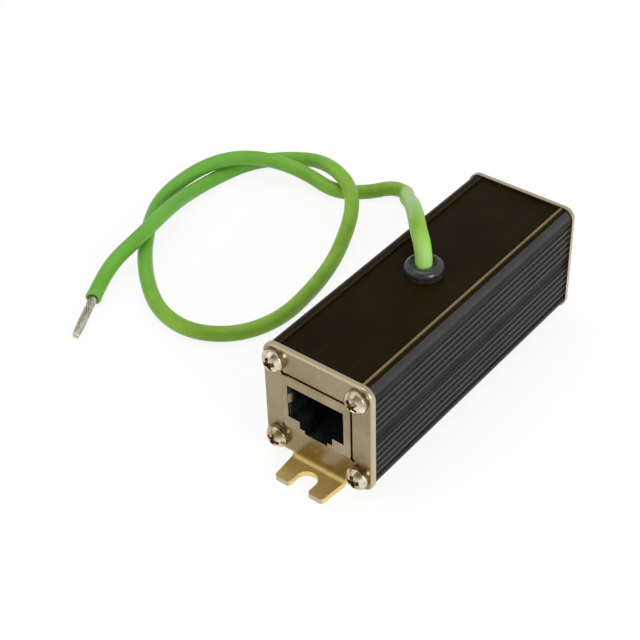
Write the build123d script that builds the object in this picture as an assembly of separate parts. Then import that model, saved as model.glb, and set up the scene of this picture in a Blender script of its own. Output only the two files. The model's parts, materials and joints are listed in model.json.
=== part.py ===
from build123d import *

import math
import os

# In-line surge protector for one network cable: a ribbed aluminium tube closed by two
# bent steel end plates, a shielded eight-way socket at each end, a protection board
# between them, and a green earth wire that leaves through a rubber grommet on top.
#
# Frame: millimetres, +Z up, origin on the surface it stands on, under the middle of the
# box. +Y runs along the tube; the front socket faces -Y. The rear end repeats the front
# one, turned half a turn about Z.

# End plates
plate_size = 25.0
plate_thickness = 1.2
plate_corner_radius = 2.4
plate_edge_radius = 0.45
overall_length = 69.0

# Mounting foot, bent out of the bottom of each end plate
foot_reach = 6.4
foot_root_width = 12.4
foot_tip_width = 11.2
foot_bend_radius = 0.8
foot_drop = 1.6
foot_tip_radius = 0.6
foot_slot_width = 4.4
foot_slot_depth = 4.7

# Extruded tube
plate_overhang = 0.3
tube_wall = 1.4
tube_corner_radius = 2.2
rib_pitch = 1.55
first_groove_offset = 1.25
rib_groove_radius = 0.55
rib_groove_depth = 0.5
panel_rim_width = 2.8
panel_recess = 0.45

# End-plate screws
screw_inset = 3.05
screw_head_diameter = 4.8
front_head_height = 2.3
rear_head_height = 1.2
screw_rim_share = 0.37
screw_core_diameter = 2.2
screw_hole_diameter = 3.2
screw_length = 9.0
recess_span = 2.7
recess_width = 0.75
recess_depth_share = 0.6
recess_draft = 12.0
screw_crown_share = 0.66
screw_crown_rise_share = 0.84
screw_point_radius = 0.35
first_screw_turn = 20.0
screw_turn_step = 27.0

# Shielded sockets
jack_width = 15.7
jack_height = 12.8
jack_depth = 21.0
jack_protrusion = 0.55
jack_above_middle = 0.5
jack_gap = 0.25
jack_corner_radius = 0.45
cutout_relief_radius = 0.4
shield_wall = 0.3
mouth_width = 13.0
mouth_below_top = 2.0
mouth_height = 7.7
latch_width = 7.6
latch_drop = 1.7
latch_notch_width = 5.3
latch_notch_drop = 0.8
spring_below_mouth_top = 2.3
spring_height = 2.1
spring_length = 5.2
spring_bow = 0.7
spring_thickness = 0.25
spring_peak_share = 0.45
shield_tab_setback = 11.5
shield_tab_width = 1.4
shield_tab_length = 2.4

# Plastic inserts
port_margin = 0.35
port_depth = 14.5
latch_depth = 9.0
insert_depth = 18.0

# Contacts
contact_count = 8
contact_pitch = 1.016
contact_width = 0.45
contact_thickness = 0.25
contact_top_gap = 1.2
contact_nose_setback = 2.2
contact_rise = 2.9
contact_reach = 7.5
contact_leg_bend_radius = 0.9
contact_nose_bend_radius = 0.22
contact_leg_setback = 1.0
contact_leg_stagger = 1.1
contact_tail = 1.0
contact_groove_overlap = 0.5

# Circuit board
board_thickness = 1.6
board_fit = 0.1
board_end_gap = 0.3
rail_height = 1.0
rail_width = 1.2

# Protection parts on the board
gas_tube_diameter = 5.0
gas_tube_length = 7.6
gas_tube_cap = 1.0
gas_tube_middle_band = 1.2
gas_tube_step = 0.25
gas_tube_x = 5.2
gas_tube_to_jack = 2.15
diode_body = (3.9, 4.9, 1.5)
diode_x = 4.6
diode_y = 3.4
diode_leg = (0.6, 0.4, 0.25)
diode_leg_pitch = 1.27
diode_leg_count = 4
diode_leg_rise = 0.3
diode_chamfer = 0.3

# Grommet and earth wire
wire_diameter = 3.4
arc_share = 0.45
conductor_diameter = 1.9
conductor_length = 12.4
grommet_x = -0.9
grommet_y = 0.4
grommet_diameter = 7.9
grommet_height = 2.2
grommet_side_height = 0.7
grommet_hole_diameter = 6.0
grommet_flange = 0.9
grommet_lip_inset = 0.9
grommet_lip_flare = 0.4
grommet_mouth_flare = 0.15
grommet_mouth_drop = 0.35
grommet_crown_drop = 0.1
lead_stripped_length = 1.8
fit = 0.05

# How far a cutting shape runs past the wall it goes through
run_through = 1.0

# Heights and places that follow from the sizes above
plate_bottom = foot_drop
mid_height = plate_bottom + plate_size / 2
tube_size = plate_size - 2 * plate_overhang
tube_length = overall_length - 2 * plate_thickness
tube_half = tube_size / 2
cavity_half = tube_half - tube_wall
panel_half_width = tube_half - panel_rim_width
grooved_height = tube_half - tube_corner_radius - first_groove_offset
grooves_from_middle = int(grooved_height / rib_pitch) + 1
screw_offset = plate_size / 2 - screw_inset
face_y = -overall_length / 2
jack_face_y = face_y - jack_protrusion
jack_top = mid_height + jack_above_middle + jack_height / 2
jack_bottom = jack_top - jack_height
mouth_top = jack_top - mouth_below_top
mouth_sill = mouth_top - mouth_height
latch_sill = mouth_sill - latch_drop
latch_notch_sill = latch_sill - latch_notch_drop
board_top = jack_bottom
board_bottom = board_top - board_thickness
port_block = mid_height - board_bottom + board_fit
port_block_side = jack_width / 2 + board_fit
panel_top = mid_height + tube_half - panel_recess
panel_underside = mid_height + cavity_half
grommet_bottom = panel_underside - grommet_flange
insert_front_y = jack_face_y + shield_wall + fit
spring_bottom = mouth_top - spring_below_mouth_top - spring_height
shield_tab_y = jack_face_y + shield_tab_setback
gas_tube_y = -(jack_face_y + jack_depth) - gas_tube_to_jack - gas_tube_diameter / 2

# Earth wire: points of its route outside the grommet. It leans over the tube's edge, drops
# to the ground, folds back there and lies in a loose overhand knot with three crossings.
wire_route = [
    (grommet_x, grommet_y, grommet_bottom),
    (grommet_x, grommet_y, 30.4),
    (-4.2, 2.9, 33.2),
    (-7.5, 7.0, 31.9),
    (-14.7, 16.2, 26.4),
    (-23.4, 27.6, 17.5),
    (-32.0, 38.2, 9.0),
    (-36.8, 45.2, 4.1),
    (-39.2, 48.3, 2.0),
    (-43.3, 48.6, 1.7),
    (-46.8, 43.4, 1.7),
    (-53.2, 38.9, 1.7),
    (-62.0, 39.6, 3.2),
    (-69.5, 36.8, 5.5),
    (-77.0, 32.9, 5.7),
    (-81.7, 26.9, 4.9),
    (-84.6, 19.8, 2.8),
    (-84.2, 11.8, 1.7),
    (-79.3, 3.2, 1.7),
    (-72.6, -5.4, 1.7),
    (-64.5, -12.9, 1.7),
    (-55.8, -18.4, 1.7),
    (-46.0, -19.5, 1.7),
    (-37.4, -14.2, 1.7),
    (-33.5, -4.6, 1.7),
    (-34.5, 7.0, 1.7),
    (-36.8, 17.5, 1.8),
    (-40.0, 26.5, 3.4),
    (-43.0, 32.6, 5.0),
    (-47.8, 38.2, 5.6),
    (-54.6, 42.0, 5.5),
    (-61.9, 44.6, 4.0),
    (-68.2, 44.3, 2.4),
    (-73.8, 41.2, 1.7),
    (-77.6, 35.9, 1.7),
    (-79.5, 28.2, 1.7),
    (-80.1, 19.8, 2.1),
    (-78.2, 11.5, 4.0),
    (-75.6, 3.2, 5.6),
    (-74.0, -5.0, 5.6),
    (-74.6, -12.3, 3.7),
    (-73.3, -18.2, 2.0),
    (-70.8, -23.2, 1.7),
]


def on_front(sketch, y):
    """A sketch drawn in X and Z (as X and Y), set upright at depth y."""
    return Pos(0, y, 0) * (Plane.XZ * sketch)


def prism_along_y(sketch, y_from, y_to):
    """A sketch in X and Z carried from one depth to another."""
    return extrude(on_front(sketch, y_to), amount=y_to - y_from)


def rect(x_from, x_to, z_from, z_to):
    """A rectangle given by its sides, in X and Z."""
    middle = Pos((x_from + x_to) / 2, (z_from + z_to) / 2)
    return middle * Rectangle(x_to - x_from, z_to - z_from)


def block(x_from, x_to, y_from, y_to, z_from, z_to):
    """A box given by its sides."""
    middle = Pos((x_from + x_to) / 2, (y_from + y_to) / 2, (z_from + z_to) / 2)
    return middle * Box(x_to - x_from, y_to - y_from, z_to - z_from)


def corners():
    """The four places of the end-plate screws, in X and Z."""
    return [
        (sx * screw_offset, mid_height + sz * screw_offset)
        for sz in (1, -1)
        for sx in (-1, 1)
    ]


def turned(shape):
    """The same piece at the rear end."""
    return Rot(0, 0, 180) * shape


def rib_grooves():
    """Round grooves down both sides of the tube, and a flat channel along its middle."""
    centre_x = tube_half - rib_groove_depth + rib_groove_radius
    groove = Circle(rib_groove_radius)
    channel = Rectangle(2 * rib_groove_depth, 2 * first_groove_offset)
    cut = Sketch()
    for side in (-1, 1):
        cut += Pos(side * tube_half, mid_height) * channel
        for row in range(grooves_from_middle):
            for up in (-1, 1):
                height = mid_height + up * (first_groove_offset + row * rib_pitch)
                cut += Pos(side * centre_x, height) * groove
    return cut


def housing_extrusion():
    """Square tube with ribbed sides, recessed top and bottom panels and four screw ports."""
    outline = Pos(0, mid_height) * RectangleRounded(tube_size, tube_size, tube_corner_radius)
    section = outline - rib_grooves()
    for up in (-1, 1):
        panel_z = mid_height + up * (tube_half - panel_recess / 2)
        section -= Pos(0, panel_z) * Rectangle(2 * panel_half_width, panel_recess)
    hollow = Pos(0, mid_height) * Rectangle(2 * cavity_half, 2 * cavity_half)
    for side in (-1, 1):
        for up in (-1, 1):
            across = cavity_half - port_block_side
            high = cavity_half - port_block
            place = Pos(side * (cavity_half - across / 2), mid_height + up * (cavity_half - high / 2))
            hollow -= place * Rectangle(across, high)
        rail_x = side * (cavity_half - rail_width / 2)
        rail_z = board_top + board_fit + rail_height / 2
        hollow -= Pos(rail_x, rail_z) * Rectangle(rail_width, rail_height)
    section -= hollow
    for x, z in corners():
        section -= Pos(x, z) * Circle(screw_core_diameter / 2 + fit)
    tube = prism_along_y(section, -tube_length / 2, tube_length / 2)
    hole = Cylinder(grommet_hole_diameter / 2, 2 * run_through + 2 * tube_wall)
    return tube - Pos(grommet_x, grommet_y, panel_top) * hole


def foot():
    """Tab at the bottom of the front plate: bent outward, tapered, with an open slot."""
    bend_y = face_y - foot_bend_radius
    bend_z = plate_thickness + foot_bend_radius
    tip_y = face_y - foot_reach
    outer = foot_bend_radius + plate_thickness
    side = Pos(bend_y, bend_z) * Circle(outer) - Pos(bend_y, bend_z) * Circle(foot_bend_radius)
    side &= rect(bend_y, bend_y + outer, bend_z - outer, bend_z)
    side += rect(tip_y, bend_y, 0, plate_thickness)
    strip = extrude(Plane.YZ * side, amount=foot_root_width / 2, both=True)
    outline = Polyline(
        (-foot_root_width / 2, face_y + plate_thickness),
        (-foot_root_width / 2, face_y),
        (-foot_tip_width / 2, tip_y),
        (foot_tip_width / 2, tip_y),
        (foot_root_width / 2, face_y),
        (foot_root_width / 2, face_y + plate_thickness),
        close=True,
    )
    plan = make_face(outline)
    slot_end = tip_y + foot_slot_depth - foot_slot_width / 2
    plan -= Pos(0, slot_end) * Circle(foot_slot_width / 2)
    plan -= rect(-foot_slot_width / 2, foot_slot_width / 2, tip_y - run_through, slot_end)
    tips = plan.vertices().group_by(Axis.Y)[0]
    plan = fillet(tips, foot_tip_radius)
    return strip & extrude(plan, amount=bend_z)


def front_end_plate():
    """Square steel plate with the socket's cut-out, four screw holes and the foot."""
    face = Pos(0, mid_height) * RectangleRounded(plate_size, plate_size, plate_corner_radius)
    plate = prism_along_y(face, face_y, face_y + plate_thickness)
    rim = plate.faces().sort_by(Axis.Y)[0].outer_wire().edges()
    plate = fillet(rim, plate_edge_radius)
    half = jack_width / 2 + jack_gap
    low = jack_bottom - jack_gap
    high = jack_top + jack_gap
    holes = rect(-half, half, low, high)
    for x in (-half, half):
        for z in (low, high):
            holes += Pos(x, z) * Circle(cutout_relief_radius)
    for x, z in corners():
        holes += Pos(x, z) * Circle(screw_hole_diameter / 2)
    plate -= prism_along_y(holes, face_y - run_through, face_y + plate_thickness + run_through)
    bend_strip = block(
        -foot_root_width / 2,
        foot_root_width / 2,
        face_y - run_through,
        face_y + plate_thickness + run_through,
        0,
        plate_thickness + foot_bend_radius,
    )
    return (plate - bend_strip) + foot()


def cross_recess(depth):
    """Tapered cross cut into a screw head, standing along Z with its mouth at the origin."""
    arm = Rectangle(recess_span, recess_width) + Rectangle(recess_width, recess_span)
    return extrude(Plane.XY.rotated((180, 0, 0)) * arm, amount=depth, taper=recess_draft)


def screw(head_height):
    """Pan-head screw along Z, its head up and the underside of its head at the origin."""
    head_r = screw_head_diameter / 2
    core_r = screw_core_diameter / 2
    crown = ThreePointArc(
        (0, head_height),
        (screw_crown_share * head_r, screw_crown_rise_share * head_height),
        (head_r, screw_rim_share * head_height),
    )
    side = Polyline(
        (head_r, screw_rim_share * head_height),
        (head_r, 0),
        (core_r, 0),
        (core_r, core_r - screw_length),
        (screw_point_radius, -screw_length),
        (0, -screw_length),
        (0, head_height),
    )
    body = revolve(Plane.XZ * make_face(crown + side), Axis.Z)
    return body - Pos(0, 0, head_height) * cross_recess(recess_depth_share * head_height)


def plate_screws(head_height):
    """Four screws in the front plate, each turned a little differently."""
    made = screw(head_height)
    placed = []
    for number, (x, z) in enumerate(corners()):
        spin = Rot(0, 0, first_screw_turn + screw_turn_step * number)
        placed.append(Pos(x, face_y, z) * Rot(90, 0, 0) * spin * made)
    return placed


def mouth(width_less, height_less):
    """Outline of the socket's mouth in X and Z: the plug's body over the latch's two steps."""
    half = mouth_width / 2 - width_less
    latch = latch_width / 2 - height_less
    notch = latch_notch_width / 2 - height_less
    shape = rect(-half, half, mouth_sill + height_less, mouth_top - height_less)
    shape += rect(-latch, latch, latch_sill + height_less, mouth_top - height_less)
    return shape + rect(-notch, notch, latch_notch_sill + height_less, mouth_top - height_less)


def side_spring(side):
    """Leaf folded in from the edge of the mouth, bowed towards the plug."""
    edge = side * (mouth_width / 2)
    inner = edge - side * spring_bow
    line = Spline(
        (edge + side * spring_thickness / 2, jack_face_y + shield_wall / 2),
        (inner, jack_face_y + spring_peak_share * spring_length),
        (edge, jack_face_y + spring_length),
    )
    leaf = trace(line, spring_thickness)
    return Pos(0, 0, spring_bottom) * extrude(leaf, amount=spring_height)


def front_jack_shield():
    """Folded sheet-metal can round the socket, open below, with two tabs through the board."""
    half = jack_width / 2
    back_y = jack_face_y + jack_depth
    can = block(-half, half, jack_face_y, back_y, jack_bottom, jack_top)
    front = can.faces().sort_by(Axis.Y)[0].edges()
    along = can.edges().filter_by(Axis.Y)
    can = fillet(list(front) + list(along), jack_corner_radius)
    inner_front = jack_face_y + shield_wall
    can -= block(
        shield_wall - half,
        half - shield_wall,
        inner_front,
        back_y - shield_wall,
        jack_bottom - run_through,
        jack_top - shield_wall,
    )
    can -= prism_along_y(mouth(0, 0), jack_face_y - run_through, inner_front + fit)
    for side in (-1, 1):
        can += side_spring(side)
        tab_x = side * (half - shield_wall / 2)
        can += block(
            tab_x - shield_wall / 2,
            tab_x + shield_wall / 2,
            shield_tab_y - shield_tab_width / 2,
            shield_tab_y + shield_tab_width / 2,
            jack_bottom - shield_tab_length,
            jack_bottom + shield_wall + jack_corner_radius,
        )
    return can


def contact_x(number):
    """Place of a contact across the socket, counted from one."""
    return (number - (contact_count + 1) / 2) * contact_pitch


def contact_leg_y(number):
    """Where a contact's leg goes down behind the insert, in two staggered rows."""
    rear = insert_front_y + insert_depth
    return rear + contact_leg_setback + contact_leg_stagger * (number % 2)


def front_jack_insert():
    """Black plastic body of the socket: the port, the latch's way and a groove per contact."""
    half = jack_width / 2 - shield_wall - fit
    top = jack_top - shield_wall - fit
    rear = insert_front_y + insert_depth
    body = block(-half, half, insert_front_y, rear, board_top, top)
    port = mouth(port_margin, 0)
    keep = rect(-half, half, mouth_sill, jack_top)
    before = insert_front_y - run_through
    body -= prism_along_y(port & keep, before, jack_face_y + port_depth)
    body -= prism_along_y(port, before, jack_face_y + latch_depth)
    pocket = mouth_width / 2 + spring_thickness + fit
    pocket_back = jack_face_y + spring_length + spring_thickness + fit
    spring_top = spring_bottom + spring_height
    body -= block(-pocket, pocket, before, pocket_back, spring_bottom - fit, spring_top + fit)
    groove_half = contact_width / 2 + 2 * fit
    groove_top = mouth_top + contact_top_gap / 2
    nose_y = jack_face_y + contact_nose_setback - contact_thickness
    for number in range(1, contact_count + 1):
        x = contact_x(number)
        groove_low = mouth_top - contact_groove_overlap
        behind = rear + run_through
        body -= block(x - groove_half, x + groove_half, nose_y, behind, groove_low, groove_top)
    return body


def front_contact(number):
    """Spring strip: up behind the insert, forward over the port, then back down into it."""
    run_z = mouth_top + contact_top_gap / 2 - contact_thickness
    nose_y = jack_face_y + contact_nose_setback
    leg_y = contact_leg_y(number)
    line = FilletPolyline(
        (leg_y, board_bottom - contact_tail),
        (leg_y, run_z),
        (nose_y, run_z),
        (nose_y + contact_reach, run_z - contact_rise),
        radius=[contact_leg_bend_radius, contact_nose_bend_radius],
    )
    strip = trace(line, contact_thickness)
    x = contact_x(number)
    return Pos(x, 0, 0) * extrude(Plane.YZ * strip, amount=contact_width / 2, both=True)


def circuit_board():
    """Board that slides on the lower screw ports, drilled for the sockets and the earth lead."""
    half = cavity_half - board_fit
    half_length = tube_length / 2 - board_end_gap
    board = block(-half, half, -half_length, half_length, board_bottom, board_top)
    drill = Cylinder(conductor_diameter / 2 + fit, 2 * board_thickness)
    mid = (board_top + board_bottom) / 2
    board -= Pos(grommet_x, grommet_y, mid) * drill
    side = contact_width / 2 + fit
    holes = Part()
    for number in range(1, contact_count + 1):
        holes += Pos(contact_x(number), contact_leg_y(number), mid) * Box(
            2 * side, 2 * side, 2 * board_thickness
        )
    for sx in (-1, 1):
        tab_x = sx * (jack_width / 2 - shield_wall / 2)
        holes += Pos(tab_x, shield_tab_y, mid) * Box(
            shield_wall + 2 * fit, shield_tab_width + 2 * fit, 2 * board_thickness
        )
    return board - holes - turned(holes)


def gas_tube(sx, sy):
    """Gas discharge tube lying across the board: three electrodes with ceramic between."""
    r = gas_tube_diameter / 2
    waist = r - gas_tube_step
    end = gas_tube_length / 2
    cap = end - gas_tube_cap
    band = gas_tube_middle_band / 2
    steps = [
        (0, -end),
        (r, -end),
        (r, -cap),
        (waist, -cap),
        (waist, -band),
        (r, -band),
        (r, band),
        (waist, band),
        (waist, cap),
        (r, cap),
        (r, end),
        (0, end),
    ]
    body = revolve(Plane.XZ * make_face(Polyline(*steps, close=True)), Axis.Z)
    place = Pos(sx * gas_tube_x, sy * gas_tube_y, board_top + r)
    return place * Rot(0, 90, 0) * body


def diode_array(sx, sy):
    """Small diode package under the board, with four legs along each long side."""
    width, length, height = diode_body
    leg_reach, leg_width, leg_thickness = diode_leg
    lift = leg_thickness / 2
    package = Pos(0, 0, lift + height / 2) * Box(width, length, height)
    upper = package.faces().sort_by(Axis.Z)[-1].edges().filter_by(Axis.Y)
    package = chamfer(upper, diode_chamfer)
    for side in (-1, 1):
        for row in range(diode_leg_count):
            y = (row - (diode_leg_count - 1) / 2) * diode_leg_pitch
            x = side * (width + leg_reach) / 2
            foot_pad = Pos(x, y, leg_thickness / 2) * Box(leg_reach, leg_width, leg_thickness)
            rise_box = Box(diode_leg_rise, leg_width, height / 2)
            rise = Pos(side * width / 2, y, height / 4) * rise_box
            package += foot_pad + rise
    return Pos(sx * diode_x, sy * diode_y, board_bottom) * Rot(180, 0, 0) * package


def cable_grommet():
    """Rubber ring snapped into the tube's top wall, thick and round above it."""
    bore = wire_diameter / 2 + fit
    neck = grommet_hole_diameter / 2 - fit
    rim = grommet_diameter / 2
    top = panel_top + grommet_height
    low = grommet_bottom
    seat = panel_top
    under = panel_underside
    lip = rim - grommet_lip_inset
    mouth_r = bore + grommet_mouth_flare
    mouth_z = top - grommet_mouth_drop
    profile = Polyline(
        (bore, low),
        (lip, low),
        (lip + grommet_lip_flare, under),
        (neck, under),
        (neck, seat),
        (rim, seat),
        (rim, seat + grommet_side_height),
    )
    crown = ThreePointArc(
        (rim, seat + grommet_side_height),
        ((rim + mouth_r) / 2 + grommet_lip_flare, top - grommet_crown_drop),
        (mouth_r, mouth_z),
    )
    inner = Polyline((mouth_r, mouth_z), (bore, mouth_z - grommet_mouth_drop), (bore, low))
    ring = revolve(Plane.XZ * make_face(profile + crown + inner), Axis.Z)
    return Pos(grommet_x, grommet_y, 0) * ring


def earth_lead_inside():
    """Inner end of the earth wire: straight down from the grommet into the board."""
    stripped_top = board_top + lead_stripped_length
    insulation = Pos(0, 0, (grommet_bottom + stripped_top) / 2) * Cylinder(
        wire_diameter / 2, grommet_bottom - stripped_top
    )
    bottom = board_bottom - contact_tail
    core = Pos(0, 0, (stripped_top + bottom) / 2) * Cylinder(
        conductor_diameter / 2, stripped_top - bottom
    )
    return Pos(grommet_x, grommet_y, 0) * (insulation + core)


def route_radii(points):
    """Radius of each arc: a share of the shorter run over the tangent of half the turn."""
    radii = []
    for before, at, after in zip(points, points[1:], points[2:]):
        run_in = Vector(at) - Vector(before)
        run_out = Vector(after) - Vector(at)
        half_turn = math.radians(run_in.get_angle(run_out)) / 2
        shorter = min(run_in.length, run_out.length)
        radii.append(arc_share * shorter / math.tan(half_turn))
    return radii


def earth_wire():
    """Insulated earth wire as a tube: straight runs joined by tangent arcs."""
    radii = route_radii(wire_route)
    print("wire arc radii:", " ".join(f"{r:.1f}" for r in radii))
    path = FilletPolyline(*wire_route, radius=radii)
    section = Plane(path @ 0, z_dir=path % 0) * Circle(wire_diameter / 2)
    tube = sweep(section, path=path)
    area = math.pi * wire_diameter**2 / 4
    print(f"wire length {path.length:.1f}, volume over section times length "
          f"{tube.volume / (area * path.length):.4f}")
    return tube


def earth_wire_conductor():
    """Bare stranded end of the earth wire, in line with its last run."""
    last = Vector(wire_route[-1])
    along = (last - Vector(wire_route[-2])).normalized()
    end = Plane(last, z_dir=along)
    return extrude(end * Circle(conductor_diameter / 2), amount=conductor_length)


def all_parts():
    """Every piece by its name."""
    parts = {
        "housing_extrusion": housing_extrusion(),
        "circuit_board": circuit_board(),
        "cable_grommet": cable_grommet(),
        "earth_lead_inside": earth_lead_inside(),
        "earth_wire": earth_wire(),
        "earth_wire_conductor": earth_wire_conductor(),
    }
    ends = {
        "end_plate": front_end_plate(),
        "jack_shield": front_jack_shield(),
        "jack_insert": front_jack_insert(),
    }
    for number in range(1, contact_count + 1):
        ends[f"contact_{number}"] = front_contact(number)
    for name, made in ends.items():
        parts[f"front_{name}"] = made
        parts[f"rear_{name}"] = turned(made)
    for number, made in enumerate(plate_screws(front_head_height), start=1):
        parts[f"front_screw_{number}"] = made
    for number, made in enumerate(plate_screws(rear_head_height), start=1):
        parts[f"rear_screw_{number}"] = turned(made)
    for number, (sx, sy) in enumerate(((-1, -1), (1, -1), (1, 1), (-1, 1)), start=1):
        parts[f"gas_tube_{number}"] = gas_tube(sx, sy)
        parts[f"diode_array_{number}"] = diode_array(sx, sy)
    return parts


def main():
    os.makedirs("parts", exist_ok=True)
    for name, made in all_parts().items():
        made.label = name
        export_step(made, f"parts/{name}.step")


main()
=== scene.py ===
# %% [markdown]
# # An in-line surge protector on a pale table
#
# The object is a small ribbed metal box with a network socket at each end and a green earth
# wire that leaves through a rubber ring on top, folds back beside the box and lies in a loose
# knot. Its hard parts come from a CAD model, which is loaded as a fixed frame. This lesson adds
# the camera, the light, the soft and shiny pieces and every finish.

# %% Load the CAD frame
import json
import math

import bpy
import numpy as np
from mathutils import Matrix, Vector

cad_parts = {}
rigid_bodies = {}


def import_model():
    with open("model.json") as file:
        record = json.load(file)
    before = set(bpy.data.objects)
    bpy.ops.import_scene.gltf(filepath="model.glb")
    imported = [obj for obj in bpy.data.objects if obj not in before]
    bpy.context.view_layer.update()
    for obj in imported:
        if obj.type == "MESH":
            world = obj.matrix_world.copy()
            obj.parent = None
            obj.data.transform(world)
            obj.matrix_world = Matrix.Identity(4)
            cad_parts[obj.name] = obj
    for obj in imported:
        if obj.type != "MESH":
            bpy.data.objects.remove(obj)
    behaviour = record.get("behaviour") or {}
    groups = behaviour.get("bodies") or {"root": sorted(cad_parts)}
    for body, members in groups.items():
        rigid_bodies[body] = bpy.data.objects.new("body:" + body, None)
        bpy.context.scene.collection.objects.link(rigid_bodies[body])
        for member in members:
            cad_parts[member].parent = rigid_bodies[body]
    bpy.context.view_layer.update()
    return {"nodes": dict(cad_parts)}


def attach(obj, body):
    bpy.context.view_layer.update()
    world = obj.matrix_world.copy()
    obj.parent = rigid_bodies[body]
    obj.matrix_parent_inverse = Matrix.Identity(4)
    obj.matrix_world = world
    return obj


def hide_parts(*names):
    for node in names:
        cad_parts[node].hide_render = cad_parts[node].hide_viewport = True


for left_over in list(bpy.data.objects):
    bpy.data.objects.remove(left_over)
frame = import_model()
nodes = frame["nodes"]
MM = 0.001
print("CAD nodes:", len(nodes))

# %% [markdown]
# ## The camera
#
# The photo was taken from above the box's front right corner with a long lens, so parallel
# edges converge only a little. The camera's angles and distance were worked out from the end
# plate's corners and the tube's edges. A camera in Blender looks along its own -Z, so the
# matrix is filled with its right, up and backward directions.

# %% Camera at the photo's angle
IMAGE_SIDE = 640
FOCAL_PIXELS = 1534.0
SENSOR_WIDTH = 36.0
CAMERA_PLACE = (0.131976, -0.193215, 0.206116)
CAMERA_DEGREES = (39.43, 39.29, -1.99)
azimuth, elevation, roll = (math.radians(degrees) for degrees in CAMERA_DEGREES)
backward = Vector((
    math.sin(azimuth) * math.cos(elevation),
    -math.cos(azimuth) * math.cos(elevation),
    math.sin(elevation),
))
level = Vector((math.cos(azimuth), math.sin(azimuth), 0))
upright = backward.cross(level)
right = math.cos(roll) * level + math.sin(roll) * upright
up = -math.sin(roll) * level + math.cos(roll) * upright

camera_data = bpy.data.cameras.new("camera")
camera_data.sensor_fit = "HORIZONTAL"
camera_data.sensor_width = SENSOR_WIDTH
camera_data.lens = SENSOR_WIDTH * FOCAL_PIXELS / IMAGE_SIDE
camera_data.clip_start = 0.01
camera_data.clip_end = 60
camera = bpy.data.objects.new("camera", camera_data)
turn = Matrix((right, up, backward)).transposed().to_4x4()
camera.matrix_world = Matrix.Translation(CAMERA_PLACE) @ turn
bpy.context.scene.collection.objects.link(camera)
bpy.context.scene.camera = camera
print("lens:", round(camera_data.lens, 2), "mm")

# %% [markdown]
# ## The earth wire's line
#
# The wire is stranded copper in green insulation, 3.4 mm across and 356 mm long. It rises from
# the rubber ring, leans over the box's edge and drops to the table, where it folds back and
# makes a loose overhand knot: under its own strand, over it, and under again. A smooth NURBS
# curve follows the CAD route's points as its control points, so the wire bends evenly and
# never shows the straight runs between them. Each point carries the wire's radius, and the
# bevel of one multiplies it, so the piece's bounding box is as slim as the wire.

# %% Earth wire on its route
WIRE_DIAMETER = 3.4 * MM
WIRE_ROUTE = np.array([
    (-0.9, 0.4, 24.0), (-0.9, 0.4, 30.4), (-4.2, 2.9, 33.2), (-7.5, 7.0, 31.9),
    (-14.7, 16.2, 26.4), (-23.4, 27.6, 17.5), (-32.0, 38.2, 9.0), (-36.8, 45.2, 4.1),
    (-39.2, 48.3, 2.0), (-43.3, 48.6, 1.7), (-46.8, 43.4, 1.7), (-53.2, 38.9, 1.7),
    (-62.0, 39.6, 3.2), (-69.5, 36.8, 5.5), (-77.0, 32.9, 5.7), (-81.7, 26.9, 4.9),
    (-84.6, 19.8, 2.8), (-84.2, 11.8, 1.7), (-79.3, 3.2, 1.7), (-72.6, -5.4, 1.7),
    (-64.5, -12.9, 1.7), (-55.8, -18.4, 1.7), (-46.0, -19.5, 1.7), (-37.4, -14.2, 1.7),
    (-33.5, -4.6, 1.7), (-34.5, 7.0, 1.7), (-36.8, 17.5, 1.8), (-40.0, 26.5, 3.4),
    (-43.0, 32.6, 5.0), (-47.8, 38.2, 5.6), (-54.6, 42.0, 5.5), (-61.9, 44.6, 4.0),
    (-68.2, 44.3, 2.4), (-73.8, 41.2, 1.7), (-77.6, 35.9, 1.7), (-79.5, 28.2, 1.7),
    (-80.1, 19.8, 2.1), (-78.2, 11.5, 4.0), (-75.6, 3.2, 5.6), (-74.0, -5.0, 5.6),
    (-74.6, -12.3, 3.7), (-73.3, -18.2, 2.0), (-70.8, -23.2, 1.7),
]) * MM

wire_curve = bpy.data.curves.new("earth_wire_insulation", "CURVE")
wire_curve.dimensions = "3D"
line = wire_curve.splines.new("NURBS")
line.points.add(len(WIRE_ROUTE) - 1)
line.points.foreach_set("co", np.c_[WIRE_ROUTE, np.ones(len(WIRE_ROUTE))].ravel())
line.points.foreach_set("radius", np.full(len(WIRE_ROUTE), WIRE_DIAMETER / 2))
line.order_u = 3
line.use_endpoint_u = True
line.resolution_u = 10
line.use_smooth = True
wire_curve.bevel_depth = 1.0
wire_curve.bevel_resolution = 7
wire_curve.use_fill_caps = True
wire = bpy.data.objects.new("earth_wire_insulation", wire_curve)
bpy.context.scene.collection.objects.link(wire)
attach(wire, "root")
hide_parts("earth_wire")
print("wire control points:", len(WIRE_ROUTE))

# %% [markdown]
# ## Surfaces worked out as grids
#
# Every new piece below is a grid of points: rows run along the piece, columns run round it.
# One helper turns such a grid into a mesh. It closes the ring of columns and puts one vertex
# in the middle of each end, so no seam or pole stays open.

# %% A closed grid becomes a mesh
def closed_grid(rings):
    """Vertices and faces of rings[row, column, xyz], closed round and at both ends.

    Face k of a row joins column k and k + 1 (modulo the ring) of this row and the next. Each
    end ring is joined to its own mean point by triangles.
    """
    rows, columns, _ = rings.shape
    number = np.arange(rows * columns).reshape(rows, columns)
    beside = np.roll(number, -1, axis=1)
    sides = np.stack([number[:-1], beside[:-1], beside[1:], number[1:]], -1).reshape(-1, 4)
    first, last = rows * columns, rows * columns + 1
    start = np.stack([np.full(columns, first), beside[0], number[0]], -1)
    end = np.stack([np.full(columns, last), number[-1], beside[-1]], -1)
    points = np.vstack([rings.reshape(-1, 3), rings[0].mean(0), rings[-1].mean(0)])
    return points, sides.tolist() + start.tolist() + end.tolist()


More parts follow.
